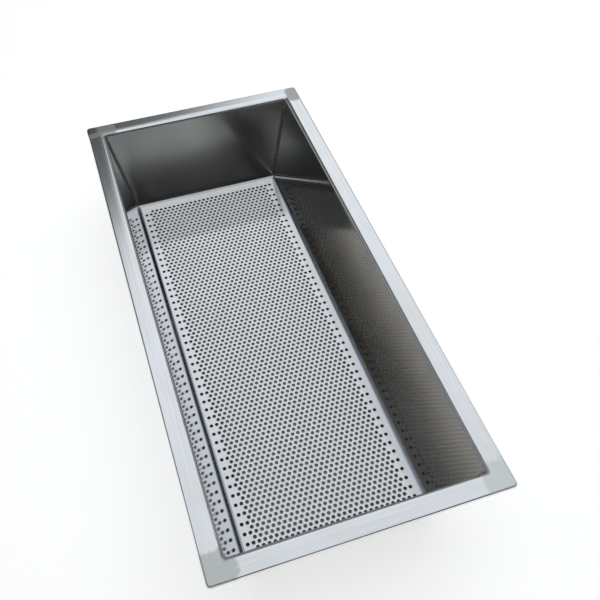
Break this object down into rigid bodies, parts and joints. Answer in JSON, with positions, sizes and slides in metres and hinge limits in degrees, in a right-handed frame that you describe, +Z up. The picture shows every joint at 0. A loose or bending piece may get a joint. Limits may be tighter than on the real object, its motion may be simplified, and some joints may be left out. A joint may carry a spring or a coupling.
{
  "type": "baguette tray",
  "caption": "Deep stainless tray with a perforated flat floor, plain walls leaning outwards and a flat flanged rim with ground mitre welds.",
  "frame": {"origin": "under the middle of the floor, on the surface that the tray stands on", "axes": "X across the tray, +X to the right seen from its near end; Y along its length, +Y to the far end; Z up"},
  "size_m": [0.285, 0.6, 0.1162],
  "materials": {
    "floor_steel": "bright satin stainless sheet, fine grain along the length, perforated",
    "fold_steel": "smooth folded radius that mirrors dark surroundings",
    "wall_steel": "polished stainless, close to a mirror, with faint haze",
    "rim_steel": "bright brushed stainless, grain along each strip, fine scratches",
    "rim_weld_steel": "matt grey ground weld with swirl marks",
    "seam_steel": "dressed weld seam, slightly duller than the walls"
  },
  "bodies": {
    "root": {"floor_plate": "floor_steel", "floor_bend_left": "fold_steel", "floor_bend_right": "fold_steel", "floor_bend_far": "fold_steel", "floor_bend_near": "fold_steel", "wall_left": "wall_steel", "wall_right": "wall_steel", "wall_far": "wall_steel", "wall_near": "wall_steel", "rim_left": "rim_steel", "rim_right": "rim_steel", "rim_far": "rim_steel", "rim_near": "rim_steel", "rim_weld_far_left": "rim_weld_steel", "rim_weld_far_right": "rim_weld_steel", "rim_weld_near_left": "rim_weld_steel", "rim_weld_near_right": "rim_weld_steel", "corner_seam_far_left": "seam_steel", "corner_seam_far_right": "seam_steel", "corner_seam_near_left": "seam_steel", "corner_seam_near_right": "seam_steel"}
  },
  "joints": []
}
